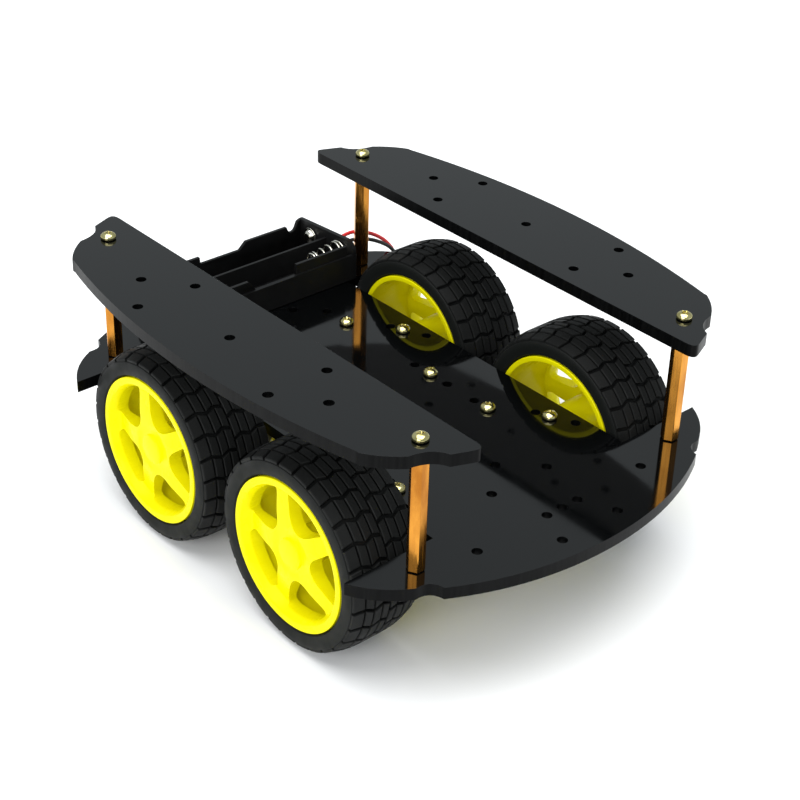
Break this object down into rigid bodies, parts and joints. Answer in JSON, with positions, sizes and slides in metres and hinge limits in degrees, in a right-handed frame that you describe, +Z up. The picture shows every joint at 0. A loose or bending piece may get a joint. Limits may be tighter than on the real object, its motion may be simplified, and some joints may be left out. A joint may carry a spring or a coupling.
{
  "type": "wheeled robot chassis",
  "caption": "Small robot chassis: acrylic deck on geared motors with yellow-rimmed wheels, raised side plates on brass standoffs and a battery holder.",
  "frame": {"origin": "on the ground, under the middle of the deck", "axes": "+X to the chassis's left, +Y towards its rear, where the battery holder is, and +Z up"},
  "size_m": [0.157, 0.2, 0.0898],
  "materials": {
    "acrylic": "polished black acrylic sheet with laser-cut edges",
    "brass": "machined, lightly toned",
    "screw_plating": "bright nickel plating, slightly warm",
    "gearbox_plastic": "moulded, satin",
    "motor_steel": "drawn bright steel",
    "end_cap_plastic": "moulded, matte",
    "rim_plastic": "moulded lemon yellow, satin gloss",
    "tyre_rubber": "matte black rubber with a block tread",
    "nylon": "moulded, satin",
    "holder_plastic": "moulded black, satin",
    "contact_plating": "bright nickel-plated spring steel",
    "red_sleeve": "extruded insulation, satin",
    "black_sleeve": "extruded insulation, satin"
  },
  "bodies": {
    "chassis": {"base_plate": "acrylic", "side_plate_left": "acrylic", "side_plate_right": "acrylic", "standoff_front_left": "brass", "standoff_screw_top_front_left": "screw_plating", "standoff_screw_bottom_front_left": "screw_plating", "motor_screw_front_left_outer": "screw_plating", "motor_screw_front_left_inner": "screw_plating", "gearbox_case_front_left": "gearbox_plastic", "gearbox_cover_front_left": "gearbox_plastic", "motor_can_front_left": "motor_steel", "motor_end_cap_front_left": "end_cap_plastic", "standoff_front_right": "brass", "standoff_screw_top_front_right": "screw_plating", "standoff_screw_bottom_front_right": "screw_plating", "motor_screw_front_right_outer": "screw_plating", "motor_screw_front_right_inner": "screw_plating", "gearbox_case_front_right": "gearbox_plastic", "gearbox_cover_front_right": "gearbox_plastic", "motor_can_front_right": "motor_steel", "motor_end_cap_front_right": "end_cap_plastic", "standoff_rear_left": "brass", "standoff_screw_top_rear_left": "screw_plating", "standoff_screw_bottom_rear_left": "screw_plating", "motor_screw_rear_left_outer": "screw_plating", "motor_screw_rear_left_inner": "screw_plating", "gearbox_case_rear_left": "gearbox_plastic", "gearbox_cover_rear_left": "gearbox_plastic", "motor_can_rear_left": "motor_steel", "motor_end_cap_rear_left": "end_cap_plastic", "standoff_rear_right": "brass", "standoff_screw_top_rear_right": "screw_plating", "standoff_screw_bottom_rear_right": "screw_plating", "motor_screw_rear_right_outer": "screw_plating", "motor_screw_rear_right_inner": "screw_plating", "gearbox_case_rear_right": "gearbox_plastic", "gearbox_cover_rear_right": "gearbox_plastic", "motor_can_rear_right": "motor_steel", "motor_end_cap_rear_right": "end_cap_plastic", "deck_screw_left": "screw_plating", "deck_screw_right": "screw_plating", "battery_box": "holder_plastic", "battery_spring_front": "contact_plating", "battery_contact_front": "contact_plating", "battery_spring_rear": "contact_plating", "battery_contact_rear": "contact_plating", "red_lead": "red_sleeve", "black_lead": "black_sleeve"},
    "wheel_front_left": {"rim_front_left": "rim_plastic", "tyre_front_left": "tyre_rubber", "output_shaft_front_left": "nylon"},
    "wheel_front_right": {"rim_front_right": "rim_plastic", "tyre_front_right": "tyre_rubber", "output_shaft_front_right": "nylon"},
    "wheel_rear_left": {"rim_rear_left": "rim_plastic", "tyre_rear_left": "tyre_rubber", "output_shaft_rear_left": "nylon"},
    "wheel_rear_right": {"rim_rear_right": "rim_plastic", "tyre_rear_right": "tyre_rubber", "output_shaft_rear_right": "nylon"}
  },
  "joints": [
    {"name": "wheel_front_left_spin", "type": "hinge", "parent": "chassis", "child": "wheel_front_left", "pos_m": [0.0551, -0.0355, 0.0325], "axis": [1, 0, 0], "continuous": true},
    {"name": "wheel_front_right_spin", "type": "hinge", "parent": "chassis", "child": "wheel_front_right", "pos_m": [-0.0551, -0.0355, 0.0325], "axis": [1, 0, 0], "continuous": true},
    {"name": "wheel_rear_left_spin", "type": "hinge", "parent": "chassis", "child": "wheel_rear_left", "pos_m": [0.0551, 0.0355, 0.0325], "axis": [1, 0, 0], "continuous": true},
    {"name": "wheel_rear_right_spin", "type": "hinge", "parent": "chassis", "child": "wheel_rear_right", "pos_m": [-0.0551, 0.0355, 0.0325], "axis": [1, 0, 0], "continuous": true}
  ]
}
